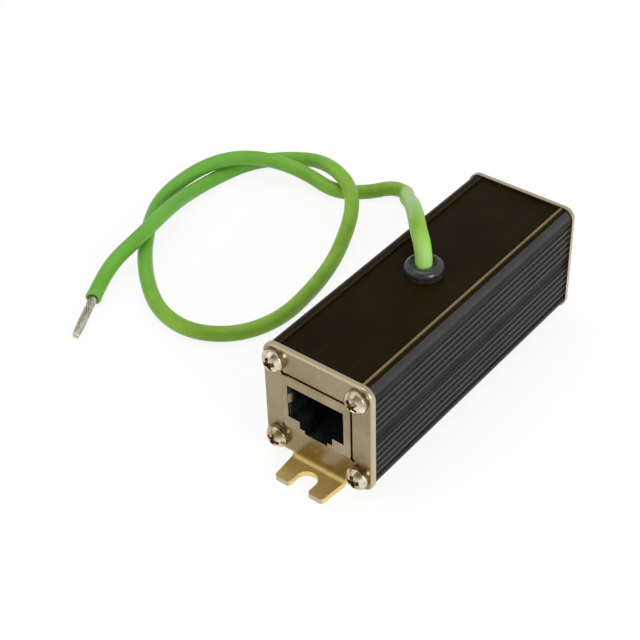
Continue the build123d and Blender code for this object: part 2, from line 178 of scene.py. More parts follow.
def piece_from(name, parts):
    """One object from several (points, faces) parts, riding on the box."""
    points, faces, shift = [], [], 0
    for part_points, part_faces in parts:
        points.append(part_points)
        faces += [tuple(index + shift for index in face) for face in part_faces]
        shift += len(part_points)
    mesh = bpy.data.meshes.new(name)
    mesh.from_pydata(np.vstack(points).tolist(), [], faces)
    mesh.update()
    mesh.polygons.foreach_set("use_smooth", np.ones(len(mesh.polygons), bool))
    made = bpy.data.objects.new(name, mesh)
    bpy.context.scene.collection.objects.link(made)
    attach(made, "root")
    return made


# %% [markdown]
# ## The wire's bare end
#
# The last 12 mm of the wire are bare: tinned strands twisted together and pinched at the tip.
# A twisted bundle is twelve thin tubes, each on a helix round one middle line, over a core.
# The helix is plain trigonometry, so each strand is computed as one array. The bundle starts a
# little inside the insulation.

# %% Twisted strands
BARE_LENGTH = 12.4 * MM
BARE_RADIUS = 0.95 * MM
STRAND_RADIUS = 0.21 * MM
STRAND_COUNT = 12
CORE_RADIUS = BARE_RADIUS - 1.4 * STRAND_RADIUS
TWIST_PITCH = 15.0 * MM
HIDDEN_LENGTH = 1.2 * MM
PINCH_START = 0.72
PINCH_SHARE = 0.33
TIP_ROUNDING = 1.2
TIP_FLAT = 0.02
wire_end = WIRE_ROUTE[-1]
wire_along = WIRE_ROUTE[-1] - WIRE_ROUTE[-2]
wire_along /= np.linalg.norm(wire_along)
wire_side = np.cross(wire_along, (0, 0, 1))
wire_side /= np.linalg.norm(wire_side)
wire_over = np.cross(wire_side, wire_along)


def strand(phase, orbit, radius, rows=64, columns=10):
    """A thin tube on a helix round the wire's end line.

    At distance s the helix angle is phase + 2 pi s / pitch, and its centre lies orbit away
    from the line in that direction. The tube's ring goes radius round that centre, outward
    and sideways. Towards the tip the orbit shrinks by a third, as the twist was pinched, and
    the tube itself is rounded off: its radius follows a quarter circle.
    """
    s = np.linspace(-HIDDEN_LENGTH, BARE_LENGTH, rows)[:, None]
    angle = phase + 2 * np.pi * s / TWIST_PITCH
    pinched = np.clip((s / BARE_LENGTH - PINCH_START) / (1 - PINCH_START), 0, 1)
    pinch = 1 - PINCH_SHARE * pinched**2
    out = np.cos(angle)[..., None] * wire_side + np.sin(angle)[..., None] * wire_over
    across = -np.sin(angle)[..., None] * wire_side + np.cos(angle)[..., None] * wire_over
    turn_round = np.linspace(0, 2 * np.pi, columns, endpoint=False)[None, :, None]
    centre = wire_end + s[..., None] * wire_along + (orbit * pinch)[..., None] * out
    tip = np.clip((BARE_LENGTH - s) / (TIP_ROUNDING * radius), 0, 1)[..., None]
    thick = radius * np.sqrt(np.clip(1 - (1 - tip) ** 2, TIP_FLAT, 1))
    ring = centre + thick * (np.cos(turn_round) * out + np.sin(turn_round) * across)
    return closed_grid(ring[:, ::-1])


bundle = [
    strand(2 * np.pi * k / STRAND_COUNT, BARE_RADIUS - STRAND_RADIUS, STRAND_RADIUS)
    for k in range(STRAND_COUNT)
]
bundle.append(strand(0.0, 0.0, CORE_RADIUS, columns=24))
strands = piece_from("twisted_bare_strands", bundle)
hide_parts("earth_wire_conductor")
print("strands:", STRAND_COUNT, "faces:", len(strands.data.polygons))

# %% [markdown]
# ## The cut end of the insulation
#
# Where the insulation was stripped, its soft edge is rounded and stands off the copper a
# little. A profile turned round the wire's end line gives that lip, with a short bore inside.

# %% Lip of the cut insulation
BORE_GAP = 0.14 * MM
UNEVEN_SHARE = 0.02


def insulation_lip(rows=28, columns=48):
    """A ring turned about the wire's end line: along its skin, over a round edge, into a bore.

    The profile's radius and height are half circles between the skin's radius and the bore's,
    with straight parts before and after. Each row is that radius times (cos, sin) round the
    line, made uneven by a small sine of twice the angle.
    """
    skin, bore = WIRE_DIAMETER / 2, BARE_RADIUS + BORE_GAP
    lip = (skin - bore) / 2
    bend = np.linspace(0, np.pi, rows - 4)
    radius = np.r_[skin, skin, bore + lip + lip * np.cos(bend), bore, bore]
    height = np.r_[-0.9 * MM, -0.3 * MM, 0.1 * MM + lip * np.sin(bend), -0.1 * MM, -0.4 * MM]
    ring = np.linspace(0, 2 * np.pi, columns, endpoint=False)[None, :, None]
    uneven = 1 + UNEVEN_SHARE * np.sin(2 * ring + 0.6)
    outward = np.cos(ring) * wire_side + np.sin(ring) * wire_over
    points = (
        wire_end + height[:, None, None] * wire_along
        + radius[:, None, None] * uneven * outward
    )
    return closed_grid(points)


cut_end = piece_from("insulation_cut_end", [insulation_lip()])

# %% [markdown]
# ## Pan-head screws
#
# Four cross-recess screws hold each end plate. A boolean cut leaves knife edges, while a real
# recess is punched and has soft shoulders that catch the light. So the head is a height field
# on rings: a domed pan less a smooth cross-shaped well, and the same rings carry on round the
# rim and down the shank.

# %% Screws as one turned surface
HEAD_RADIUS = 2.4 * MM
HEAD_HEIGHT = {"front": 2.3 * MM, "rear": 1.2 * MM}
RIM_SHARE = 0.37
DOME_FALL_SHARE = 0.5556
DOME_POWER = 2.6
SHANK_RADIUS = 1.1 * MM
SHANK_LENGTH = 9.0 * MM
SHANK_POINT_RADIUS = 0.35 * MM
RECESS_HALF_SPAN = 1.35 * MM
RECESS_HALF_WIDTH = 0.44 * MM
RECESS_DEPTH_SHARE = 0.6
RECESS_SOFTNESS = 0.14 * MM
RECESS_RISE_SHARE = 0.45
UNDERSIDE_CHAMFER = 0.06 * MM
FIRST_TURN, TURN_STEP = 20, 27
SCREW_OFFSET = 9.45 * MM
MID_HEIGHT = 14.1 * MM
FACE_Y = -34.5 * MM


def screw_rings(head_height, turned_by, columns=144):
    """Rings of a screw standing along Z, with its head's underside at the origin.

    Over the head the height is head_height (1 - fall (r / R)^power), less a well whose depth
    grows smoothly with the distance inside a plus-shaped outline and is shallower towards the
    arms' ends. The rim is a quarter ellipse, and below it the radius steps in to the shank and
    its blunt point.
    """
    rim_height, recess = RIM_SHARE * head_height, RECESS_DEPTH_SHARE * head_height
    r = HEAD_RADIUS * np.linspace(0.012, 1, 60)[:, None]
    ring = np.linspace(0, 2 * np.pi, columns, endpoint=False)[None, :]
    x, y = r * np.cos(ring - turned_by), r * np.sin(ring - turned_by)
    arm_x = np.maximum(np.abs(x) - RECESS_HALF_SPAN, np.abs(y) - RECESS_HALF_WIDTH)
    arm_y = np.maximum(np.abs(y) - RECESS_HALF_SPAN, np.abs(x) - RECESS_HALF_WIDTH)
    inside = np.clip(0.5 - np.minimum(arm_x, arm_y) / RECESS_SOFTNESS, 0, 1)
    well = inside**2 * (3 - 2 * inside)
    slope = 1 - RECESS_RISE_SHARE * np.clip(r / RECESS_HALF_SPAN, 0, 1)
    crown = head_height * (1 - DOME_FALL_SHARE * (r / HEAD_RADIUS) ** DOME_POWER)
    top = np.stack([r * np.cos(ring), r * np.sin(ring), crown - recess * well * slope], -1)
    bend = np.linspace(0, np.pi / 2, 7)[1:]
    edge = crown[-1, 0] - rim_height
    low_r = np.r_[
        np.full(len(bend) + 1, HEAD_RADIUS), HEAD_RADIUS - UNDERSIDE_CHAMFER,
        SHANK_RADIUS, SHANK_RADIUS, SHANK_POINT_RADIUS, 0.2 * MM,
    ][:, None]
    low_z = np.r_[
        rim_height + edge * np.cos(bend), UNDERSIDE_CHAMFER, 0,
        0, SHANK_RADIUS - SHANK_LENGTH, -SHANK_LENGTH, -SHANK_LENGTH,
    ][:, None]
    low = np.stack([low_r * np.cos(ring), low_r * np.sin(ring), low_z + 0 * ring], -1)
    return np.vstack([top, low])


def screw_at(name, rings, x, z, end_sign):
    """A screw with its axis along Y: the rings' Z points out of the end plate.

    Rings (u, v, w) become (-end_sign * u, end_sign * w, v), moved to the screw's place. That
    is a turn for either sign, so both ends are turned copies and not mirror images.
    """
    u, v, w = np.moveaxis(rings, -1, 0)
    points = np.stack([x - end_sign * u, end_sign * (w - FACE_Y), z + v], -1)
    return piece_from(name, [closed_grid(points)])


places = [(-1, 1), (1, 1), (-1, -1), (1, -1)]
screws = []
for end, end_sign in (("front", -1), ("rear", 1)):
    for number, (side, height) in enumerate(places, start=1):
        turned_by = math.radians(FIRST_TURN + TURN_STEP * (number - 1))
        screw = screw_at(
            f"{end}_pan_head_{number}",
            screw_rings(HEAD_HEIGHT[end], turned_by),
            -end_sign * side * SCREW_OFFSET,
            MID_HEIGHT + height * SCREW_OFFSET,
            end_sign,
        )
        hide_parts(f"{end}_screw_{number}")
        screws.append(screw)
print("screws:", len(screws), "faces each:", len(screws[0].data.polygons))

# %% [markdown]
# ## Small helpers for finishes
#
# A finish is a network of nodes. One helper adds a node and wires its inputs in the same
# line, and another starts a material with its shader. A third starts a node group, the place
# for an effect that several finishes share.

# %% Node helpers
def add(tree, kind, inputs=None, **settings):
    """A node of that kind; each input gets a value, or a link if it is given a socket."""
    made = tree.nodes.new(kind)
    for key, value in settings.items():
        setattr(made, key, value)
    for key, value in (inputs or {}).items():
        if isinstance(value, bpy.types.NodeSocket):
            tree.links.new(value, made.inputs[key])
        else:
            made.inputs[key].default_value = value
    return made


def start_material(name):
    """A material with its Principled shader and the Object coordinates."""
    material = bpy.data.materials.new(name)
    material.use_nodes = True
    tree = material.node_tree
    tree.nodes.clear()
    shader = tree.nodes.new("ShaderNodeBsdfPrincipled")
    add(tree, "ShaderNodeOutputMaterial", {"Surface": shader.outputs["BSDF"]})
    place = tree.nodes.new("ShaderNodeTexCoord").outputs["Object"]
    return material, tree, shader, place


def start_group(name, takes, gives):
    """An empty node group with named inputs (name, kind, default) and value outputs."""
    group = bpy.data.node_groups.new(name, "ShaderNodeTree")
    for label, kind, default in takes:
        socket = group.interface.new_socket(label, in_out="INPUT", socket_type=kind)
        if default is not None:
            socket.default_value = default
    for label in gives:
        group.interface.new_socket(label, in_out="OUTPUT", socket_type="NodeSocketFloat")
    return group, group.nodes.new("NodeGroupInput"), group.nodes.new("NodeGroupOutput")


def use_group(tree, group, inputs):
    """A group placed in a material, with its own values."""
    return add(tree, "ShaderNodeGroup", inputs, node_tree=group)


# %% [markdown]
# ## Effects that several finishes share
#
# Three things show on nearly every surface of the real object: a slow drift of tone, fine
# lines along the way a sheet or tube was drawn, and sparse rub marks. Each is one node group.
# They read Object coordinates in metres, so a pattern keeps its size on every piece.

# %% Slow drift of tone
drift, taken, given = start_group(
    "tone_drift",
    [("Place", "NodeSocketVector", None), ("Spots per metre", "NodeSocketFloat", 100.0)],
    ["Tone"],
)
cloud = add(drift, "ShaderNodeTexNoise", {
    "Vector": taken.outputs["Place"], "Scale": taken.outputs["Spots per metre"],
    "Detail": 4.0, "Roughness": 0.55,
})
spread = add(drift, "ShaderNodeMapRange", {
    "Value": cloud.outputs["Fac"], "From Min": 0.32, "From Max": 0.68,
}, interpolation_type="SMOOTHSTEP")
drift.links.new(spread.outputs["Result"], given.inputs["Tone"])

# %% Drawn lines
drawn, taken, given = start_group(
    "drawn_lines",
    [("Place", "NodeSocketVector", None), ("Lines per metre", "NodeSocketVector", (1, 1, 1))],
    ["Line"],
)
stretched = add(drawn, "ShaderNodeVectorMath", {
    0: taken.outputs["Place"], 1: taken.outputs["Lines per metre"],
}, operation="MULTIPLY")
streak = add(drawn, "ShaderNodeTexNoise", {
    "Vector": stretched.outputs["Vector"], "Scale": 1.0, "Detail": 3.0, "Roughness": 0.65,
})
drawn.links.new(streak.outputs["Fac"], given.inputs["Line"])

# %% Rub marks
RUB_ANGLES = ((0.3, 0.9, 0.5), (1.2, -0.4, 2.0))
RUB_STRETCH = (0.09, 1.0, 1.0)
RUB_SOFTNESS = 0.09
rubs, taken, given = start_group(
    "rub_marks",
    [
        ("Place", "NodeSocketVector", None),
        ("Marks per metre", "NodeSocketFloat", 400.0),
        ("Rarity", "NodeSocketFloat", 0.6),
    ],
    ["Mark"],
)
brighter = add(rubs, "ShaderNodeMath", {
    0: taken.outputs["Rarity"], 1: RUB_SOFTNESS,
}, operation="ADD").outputs["Value"]
ways = []
for angles in RUB_ANGLES:
    lean = add(rubs, "ShaderNodeVectorRotate", {
        "Vector": taken.outputs["Place"], "Rotation": angles,
    }, rotation_type="EULER_XYZ")
    thin = add(rubs, "ShaderNodeVectorMath", {
        0: lean.outputs["Vector"], 1: RUB_STRETCH,
    }, operation="MULTIPLY")
    hairs = add(rubs, "ShaderNodeTexNoise", {
        "Vector": thin.outputs["Vector"], "Scale": taken.outputs["Marks per metre"],
        "Detail": 2.0, "Roughness": 0.5,
    })
    ways.append(add(rubs, "ShaderNodeMapRange", {
        "Value": hairs.outputs["Fac"], "From Min": taken.outputs["Rarity"], "From Max": brighter,
    }).outputs["Result"])
either = add(rubs, "ShaderNodeMath", {0: ways[0], 1: ways[1]}, operation="MAXIMUM")
rubs.links.new(either.outputs["Value"], given.inputs["Mark"])
print("shared effects:", [group.name for group in bpy.data.node_groups])


# %% Colours and bumps from a mask
def blend_colours(tree, mask, dark, light):
    """A colour between two, chosen by a mask."""
    mixed = add(tree, "ShaderNodeMix", data_type="RGBA")
    for index, value in ((0, mask), (6, dark), (7, light)):
        if isinstance(value, bpy.types.NodeSocket):
            tree.links.new(value, mixed.inputs[index])
        else:
            mixed.inputs[index].default_value = (*value, 1)
    return mixed.outputs[2]


def ranged(tree, value, low, high):
    """A value from 0 to 1 spread between low and high."""
    return add(tree, "ShaderNodeMapRange", {
        "Value": value, "To Min": low, "To Max": high,
    }).outputs["Result"]


def ramp(tree, value, start, end):
    """0 below start, 1 above end, or the other way round when start is the larger."""
    return add(tree, "ShaderNodeMapRange", {
        "Value": value, "From Min": start, "From Max": end,
    }).outputs["Result"]


def math_of(tree, operation, first, second=0.0):
    """One step of arithmetic between sockets or numbers."""
    made = add(tree, "ShaderNodeMath", {0: first, 1: second}, operation=operation)
    return made.outputs["Value"]


def raised(tree, shader, height, distance):
    """A bump of that height in metres into the shader's normal."""
    bump = add(tree, "ShaderNodeBump", {"Height": height, "Distance": distance})
    tree.links.new(bump.outputs["Normal"], shader.inputs["Normal"])


# %% [markdown]
# ## Plated sheet and screws
#
# The end plates are thin nickel-plated steel: warm grey, softly reflective, with faint rolling
# lines and rub marks. Metal has almost no colour of its own, so the finish is a metallic
# shader whose tint drifts between two warm greys and whose roughness rises in the rubs. A
# painted golden reflection tints the plate below the socket and, lighter, the foot, and a
# painted highlight makes the rim and the foot's tip pale; both are found from the place on the
# plate. The socket's folded can, the screws, the gold contacts and the bare strands are the
# same recipe with other values.

# %% A recipe for plated metal
RUBBED_BRIGHTER = 1.25
RUBBED_DULLER = 0.12
RUB_SHARE = 0.25


def plated(name, dark, light, rough, lines, spots, marks, rarity, grain,
           tint_by_place=None, dull_by_place=None):
    """Metal with a drifting tint, drawn lines, and rub marks that are a little duller.

    tint_by_place may change the tint with the place on the object: it gets the tree, the
    place and the tint, and returns the new tint. dull_by_place gets the tree and the place,
    and returns what is added to the roughness there.
    """
    material, tree, shader, place = start_material(name)
    tone = use_group(tree, drift, {"Place": place, "Spots per metre": spots}).outputs["Tone"]
    line = use_group(tree, drawn, {"Place": place, "Lines per metre": lines}).outputs["Line"]
    mark = use_group(tree, rubs, {
        "Place": place, "Marks per metre": marks, "Rarity": rarity,
    }).outputs["Mark"]
    tint = blend_colours(tree, tone, dark, light)
    if tint_by_place:
        tint = tint_by_place(tree, place, tint)
    rubbed = tuple(min(1, RUBBED_BRIGHTER * c) for c in light)
    tint = blend_colours(tree, math_of(tree, "MULTIPLY", mark, RUB_SHARE), tint, rubbed)
    tree.links.new(tint, shader.inputs["Base Color"])
    roughness = math_of(tree, "ADD", ranged(tree, line, *rough),
                        math_of(tree, "MULTIPLY", mark, RUBBED_DULLER))
    if dull_by_place:
        roughness = math_of(tree, "ADD", roughness, dull_by_place(tree, place))
    tree.links.new(roughness, shader.inputs["Roughness"])
    shader.inputs["Metallic"].default_value = 1.0
    raised(tree, shader, line, grain)
    return material


# %% Tints and dullness by place
BELOW_SOCKET = (9.0 * MM, 6.5 * MM)
ON_FOOT = (2.6 * MM, 1.0 * MM)
ABOVE_BEND = (2.1 * MM, 2.6 * MM)
CORNER_CENTRE = 10.1 * MM
RIM_REACH = (1.95 * MM, 2.25 * MM)
FOOT_TIP = (40.65 * MM, 40.8 * MM)
FOOT_DULLER = 0.26
RECESS_REACH = (1.7 * MM, 1.4 * MM)
RECESS_DEPTH = (0.05 * MM, 0.40 * MM)
CROWN_SHARE = {"front": 0.84, "rear": 0.9}


def away_from(tree, axes, axis, middle):
    """The distance from a middle along one axis."""
    return math_of(tree, "ABSOLUTE", math_of(tree, "SUBTRACT", axes.outputs[axis], middle))


def long_side(tree, across, up_down):
    """The length sqrt(a^2 + b^2)."""
    squares = [math_of(tree, "MULTIPLY", side, side) for side in (across, up_down)]
    return math_of(tree, "SQRT", math_of(tree, "ADD", *squares))


def painted_foot_reflection_and_rim_highlight(tree, place, tint):
    """Painted golden reflection, yellower under the socket and yellowest and lighter on the foot,
    and a painted highlight that makes the rim and the foot's tip pale.

    The plate's rim is found as in a rounded rectangle: with q and w the distances past the
    corner's centre in X and Z, or 0, the place is on the rim where sqrt(q^2 + w^2) comes near
    the corner's radius.
    """
    axes = add(tree, "ShaderNodeSeparateXYZ", {"Vector": place})
    height = axes.outputs["Z"]
    # Painted golden reflection: darker gold below the socket, lighter gold on the foot.
    low = blend_colours(tree, ramp(tree, height, *BELOW_SOCKET), tint, (0.235, 0.180, 0.085))
    footed = blend_colours(tree, ramp(tree, height, *ON_FOOT), low, (0.74, 0.58, 0.235))
    # Painted highlight: a pale tint on the plate's rim and on the foot's tip.
    past = [
        math_of(tree, "MAXIMUM", math_of(tree, "SUBTRACT", away, CORNER_CENTRE), 0.0)
        for away in (away_from(tree, axes, "X", 0.0), away_from(tree, axes, "Z", MID_HEIGHT))
    ]
    rim = math_of(tree, "MULTIPLY", ramp(tree, long_side(tree, *past), *RIM_REACH),
                  ramp(tree, height, *ABOVE_BEND))
    tip = ramp(tree, math_of(tree, "ABSOLUTE", axes.outputs["Y"]), *FOOT_TIP)
    return blend_colours(tree, math_of(tree, "MAXIMUM", rim, tip), footed, (0.49, 0.43, 0.29))


def duller_foot(tree, place):
    """The foot is rubbed duller than the plate above it."""
    height = add(tree, "ShaderNodeSeparateXYZ", {"Vector": place}).outputs["Z"]
    return math_of(tree, "MULTIPLY", ramp(tree, height, *ON_FOOT), FOOT_DULLER)


def painted_recess_shade(tree, place, tint):
    """Painted shade in the cross recess: near a screw's axis and below its crown."""
    axes = add(tree, "ShaderNodeSeparateXYZ", {"Vector": place})
    off = [
        math_of(tree, "SUBTRACT", away, SCREW_OFFSET)
        for away in (away_from(tree, axes, "X", 0.0), away_from(tree, axes, "Z", MID_HEIGHT))
    ]
    near = ramp(tree, long_side(tree, *off), *RECESS_REACH)
    front = math_of(tree, "LESS_THAN", axes.outputs["Y"], 0.0)
    rear_crown, front_crown = (
        abs(FACE_Y) + CROWN_SHARE[end] * HEAD_HEIGHT[end] for end in ("rear", "front")
    )
    crown = ranged(tree, front, rear_crown, front_crown)
    depth = math_of(tree, "SUBTRACT", crown, math_of(tree, "ABSOLUTE", axes.outputs["Y"]))
    # Painted shade: dark brown deep in the recess, near the axis and below the crown.
    recess_shade = math_of(tree, "MULTIPLY", near, ramp(tree, depth, *RECESS_DEPTH))
    return blend_colours(tree, recess_shade, tint, (0.26, 0.185, 0.085))


# %% The five plated finishes
nickel_plate = plated(
    "nickel_plated_sheet", dark=(0.25, 0.195, 0.105), light=(0.30, 0.245, 0.155),
    rough=(0.18, 0.34), lines=(900, 900, 160), spots=140, marks=900, rarity=0.60,
    grain=0.001 * MM, tint_by_place=painted_foot_reflection_and_rim_highlight, dull_by_place=duller_foot,
)
socket_can = plated(
    "tinned_socket_can", dark=(0.265, 0.210, 0.125), light=(0.32, 0.265, 0.175),
    rough=(0.18, 0.30), lines=(220, 900, 900), spots=220, marks=1200, rarity=0.62,
    grain=0.002 * MM,
)
bright_screw = plated(
    "bright_plated_screw", dark=(0.36, 0.26, 0.13), light=(0.74, 0.67, 0.55),
    rough=(0.08, 0.16), lines=(1500, 1500, 1500), spots=420, marks=2500, rarity=0.60,
    grain=0.002 * MM, tint_by_place=painted_recess_shade,
)
gold_contact = plated(
    "gold_plated_contact", dark=(0.70, 0.48, 0.16), light=(0.85, 0.62, 0.26),
    rough=(0.14, 0.26), lines=(2000, 300, 2000), spots=600, marks=3000, rarity=0.64,
    grain=0.003 * MM,
)
strand_tin = plated(
    "tinned_strand", dark=(0.38, 0.34, 0.27), light=(0.62, 0.59, 0.50),
    rough=(0.24, 0.42), lines=(900, 900, 900), spots=450, marks=2000, rarity=0.58,
    grain=0.010 * MM,
)

# %% [markdown]
# ## The anodised tube
#
# The tube was pressed through a die and dyed: it is nearly black, satin, browner on the sunk
# panel, with fine lines along its length. The sharp ridges beside the panel are golden: worn
# edges with a painted highlight, full on the right ridge and faint on the left. A ridge is
# found from the place itself: it lies 9.4 mm to each side of the middle, near the top or the
# bottom, so a mask needs only a little arithmetic. The panel hardly shines, and the ribs and
# the lit shoulder do. A coat with a changing weight tells them apart, because a coat's weight
# is kept when the model is exported.

# %% Places on the tube
RIDGE_INNER = (9.36 * MM, 9.42 * MM)
RIDGE_OUTER = (10.1 * MM, 9.7 * MM)
RIDGE_CREST = (11.82 * MM, 11.94 * MM)
PANEL_HALF_WIDTH = 10.9 * MM
PANEL_FROM_MIDDLE = 11.6 * MM
CHANNEL_HALF_HEIGHT = 1.4 * MM
RIBS_FROM_MIDDLE = 9.4 * MM
SHOULDER_RISE = (10.4 * MM, 11.2 * MM)
FAR_RIDGE_HIGHLIGHT_SHARE = 0.07

anodised, tree, shader, place = start_material("dark_anodised_tube")
axes = add(tree, "ShaderNodeSeparateXYZ", {"Vector": place})
across = math_of(tree, "ABSOLUTE", axes.outputs["X"])
from_middle = away_from(tree, axes, "Z", MID_HEIGHT)
right_side = math_of(tree, "GREATER_THAN", axes.outputs["X"], 0.0)
ridge = math_of(tree, "MULTIPLY", math_of(
    tree, "MULTIPLY", ramp(tree, across, *RIDGE_INNER), ramp(tree, across, *RIDGE_OUTER),
), ramp(tree, from_middle, *RIDGE_CREST))
# Painted highlight: the right ridge, towards the right lamp, keeps the full golden tone, the left
# only a small share.
ridge = math_of(tree, "MULTIPLY", ridge, ranged(tree, right_side, FAR_RIDGE_HIGHLIGHT_SHARE, 1.0))
on_panel = math_of(tree, "MULTIPLY", math_of(tree, "LESS_THAN", across, PANEL_HALF_WIDTH),
                   math_of(tree, "GREATER_THAN", from_middle, PANEL_FROM_MIDDLE))
ribbed = math_of(tree, "MULTIPLY", math_of(tree, "GREATER_THAN", from_middle, CHANNEL_HALF_HEIGHT),
                 math_of(tree, "LESS_THAN", from_middle, RIBS_FROM_MIDDLE))
lit_shoulder = math_of(tree, "MULTIPLY", math_of(
    tree, "MULTIPLY", ramp(tree, from_middle, *SHOULDER_RISE), right_side,
), math_of(tree, "SUBTRACT", 1.0, on_panel))

# %% Dark anodising with golden ridges: wear and a painted highlight
RIB_COAT = 0.45
MARK_SHARE = 0.08
tone = use_group(tree, drift, {"Place": place, "Spots per metre": 90.0}).outputs["Tone"]
die_line = use_group(tree, drawn, {
    "Place": place, "Lines per metre": (2600, 26, 2600),
}).outputs["Line"]
mark = use_group(tree, rubs, {
    "Place": place, "Marks per metre": 500.0, "Rarity": 0.63,
}).outputs["Mark"]
# Golden ridges: wear on the sharp edges together with a painted highlight.
wear_and_highlight = math_of(tree, "MULTIPLY", ridge, ranged(tree, tone, 0.6, 1.0))
side_dye = blend_colours(tree, tone, (0.014, 0.013, 0.013), (0.022, 0.021, 0.021))
panel_dye = blend_colours(tree, tone, (0.011, 0.0062, 0.0012), (0.015, 0.0088, 0.0020))
dye = blend_colours(tree, on_panel, side_dye, panel_dye)
dye = blend_colours(tree, math_of(tree, "MULTIPLY", mark, MARK_SHARE), dye, (0.05, 0.04, 0.03))
dye = blend_colours(tree, wear_and_highlight, dye, (0.31, 0.235, 0.125))
coat = math_of(tree, "MAXIMUM", math_of(tree, "MULTIPLY", ribbed, RIB_COAT), lit_shoulder)
tree.links.new(dye, shader.inputs["Base Color"])
tree.links.new(ranged(tree, wear_and_highlight, 0.0, 0.9), shader.inputs["Metallic"])
tree.links.new(ranged(tree, die_line, 0.26, 0.42), shader.inputs["Roughness"])
tree.links.new(coat, shader.inputs["Coat Weight"])
shader.inputs["Coat Roughness"].default_value = 0.34
shader.inputs["Coat IOR"].default_value = 1.5
shader.inputs["Specular IOR Level"].default_value = 0.03
raised(tree, shader, die_line, 0.010 * MM)

# %% [markdown]
# ## Green insulation, rubber and moulded plastic
#
# The wire's insulation is a fresh yellowish green, semi-gloss, with a faintly uneven skin. A
# painted highlight makes it pale where it leaves the ring, and it is a purer green on the far
# left. The ring is shinier black rubber, and the socket's insert is a dull moulded black. They
# share a recipe: a tint that drifts, a roughness that drifts with it, and a fine skin bump.

# %% A recipe for plastics and rubber
def moulded(name, dark, light, rough, spots, skin, skin_height, shine=0.5, tint_by_place=None):
    """Non-metal with a drifting tint and roughness, and a fine uneven skin."""
    material, tree, shader, place = start_material(name)
    tone = use_group(tree, drift, {"Place": place, "Spots per metre": spots}).outputs["Tone"]
    grains = use_group(tree, drawn, {
        "Place": place, "Lines per metre": (skin, skin, skin),
    }).outputs["Line"]
    tint = blend_colours(tree, tone, dark, light)
    if tint_by_place:
        tint = tint_by_place(tree, place, tint)
    tree.links.new(tint, shader.inputs["Base Color"])
    tree.links.new(ranged(tree, tone, *rough), shader.inputs["Roughness"])
    shader.inputs["Specular IOR Level"].default_value = shine
    raised(tree, shader, grains, skin_height)
    return material


RING_MOUTH = (-0.9 * MM, 0.4 * MM, 27.0 * MM)
RING_HIGHLIGHT_REACH = (9.0 * MM, 2.0 * MM)
FAR_LEFT = (-48.0 * MM, -74.0 * MM)
FAR_LEFT_SHARE = 0.6


def painted_ring_highlight_and_far_green(tree, place, tint):
    """A painted highlight makes the insulation pale at the rubber ring; it is a purer green on the
    far left.
    """
    aside = add(tree, "ShaderNodeSeparateXYZ", {"Vector": place}).outputs["X"]
    far = math_of(tree, "MULTIPLY", ramp(tree, aside, *FAR_LEFT), FAR_LEFT_SHARE)
    tint = blend_colours(tree, far, tint, (0.085, 0.395, 0.045))
    # Painted highlight: pale mint near the ring's mouth.
    away = add(tree, "ShaderNodeVectorMath", {0: place, 1: RING_MOUTH}, operation="DISTANCE")
    near = ramp(tree, away.outputs["Value"], *RING_HIGHLIGHT_REACH)
    return blend_colours(tree, near, tint, (0.36, 0.62, 0.17))


green_insulation = moulded(
    "green_insulation", dark=(0.182, 0.372, 0.016), light=(0.250, 0.482, 0.040),
    rough=(0.36, 0.48), spots=120, skin=1500, skin_height=0.010 * MM, shine=0.34,
    tint_by_place=painted_ring_highlight_and_far_green,
)
black_rubber = moulded(
    "black_rubber", dark=(0.016, 0.016, 0.018), light=(0.032, 0.032, 0.035),
    rough=(0.16, 0.30), spots=500, skin=2500, skin_height=0.008 * MM,
)
black_insert = moulded(
    "moulded_black_insert", dark=(0.008, 0.008, 0.009), light=(0.016, 0.016, 0.018),
    rough=(0.26, 0.40), spots=400, skin=4000, skin_height=0.006 * MM,
)

# %% [markdown]
# ## Inside the box
#
# The board and its parts only show through the sockets' gaps, but each still gets its own
# finish. The board is green laminate with a woven print-through. The gas tubes are white
# ceramic with metal ends and a middle band, the small diode packages have tinned legs, and the
# wire's inner end is stripped near the board. Metal and plain surface are told apart by the
# place along the part.

# %% Woven laminate
THREADS = 260.0
laminate, tree, shader, place = start_material("green_laminate")
threads = [
    add(tree, "ShaderNodeTexWave", {"Vector": place, "Scale": THREADS, "Distortion": 0.4},
        bands_direction=way).outputs["Fac"]
    for way in ("X", "Y")
]
weave = math_of(tree, "MULTIPLY", *threads)
tone = use_group(tree, drift, {"Place": place, "Spots per metre": 120.0}).outputs["Tone"]
lacquer = blend_colours(tree, tone, (0.010, 0.075, 0.030), (0.020, 0.120, 0.050))
lacquer = blend_colours(tree, math_of(tree, "MULTIPLY", weave, 0.4), lacquer, (0.05, 0.20, 0.09))
tree.links.new(lacquer, shader.inputs["Base Color"])
tree.links.new(ranged(tree, tone, 0.22, 0.34), shader.inputs["Roughness"])
raised(tree, shader, weave, 0.010 * MM)


# %% Ceramic, chips and the inner lead
DARKER_SHARE = 0.82
ROUGHNESS_DRIFT = 0.05
GAS_TUBE_X, CAP_FROM, BAND_HALF = 5.2 * MM, 2.8 * MM, 0.6 * MM
DIODE_X, LEG_FROM = 4.6 * MM, 1.96 * MM
STRIPPED_BELOW = 10.0 * MM


